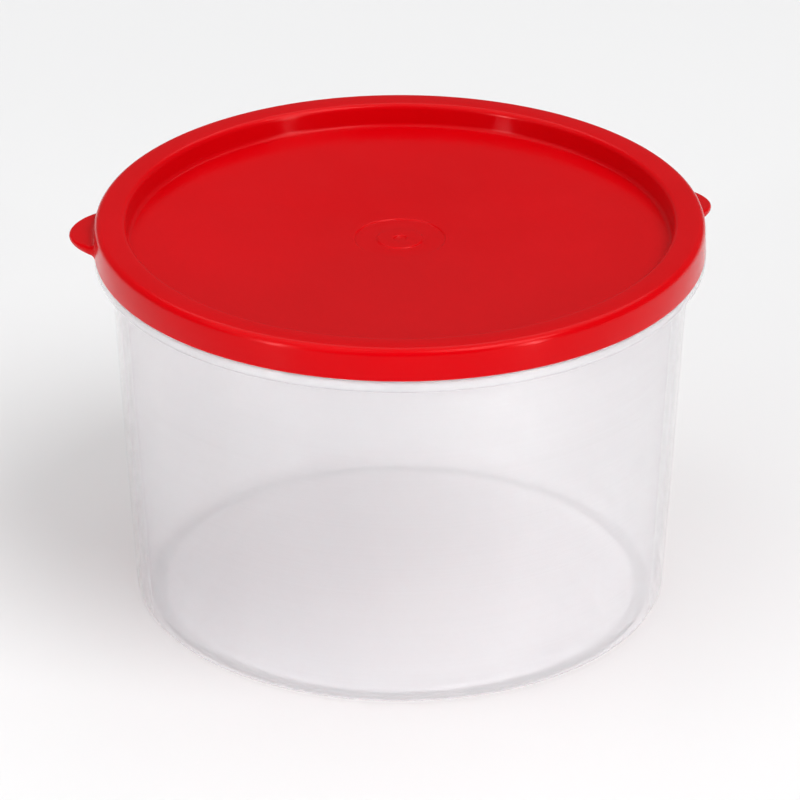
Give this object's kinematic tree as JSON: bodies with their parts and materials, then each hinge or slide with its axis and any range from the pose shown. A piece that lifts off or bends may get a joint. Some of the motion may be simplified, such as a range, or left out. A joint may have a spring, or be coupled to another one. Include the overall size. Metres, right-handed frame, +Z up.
{
  "type": "snap lid food container",
  "caption": "Round tapered food tub with a snap lid that has a raised rim, a stacking recess and a pull tab.",
  "frame": {"origin": "on the tub's centre line, in the plane of the ring that the tub stands on", "axes": "+Z up along the tub's centre line, the large pull tab of the lid points to -X and the small tab to the back right (+X, +Y)"},
  "size_m": [0.1354, 0.13, 0.087],
  "materials": {
    "frosted_plastic": "translucent, slightly frosted, with a soft sheen",
    "lid_plastic": "opaque red with a moulded gloss"
  },
  "bodies": {
    "tub": {"tub": "frosted_plastic"},
    "lid": {"lid": "lid_plastic"}
  },
  "joints": [
    {"name": "lid_lift", "type": "slide", "parent": "tub", "child": "lid", "axis": [0, 0, 1], "range_m": [0, 0.1]}
  ]
}
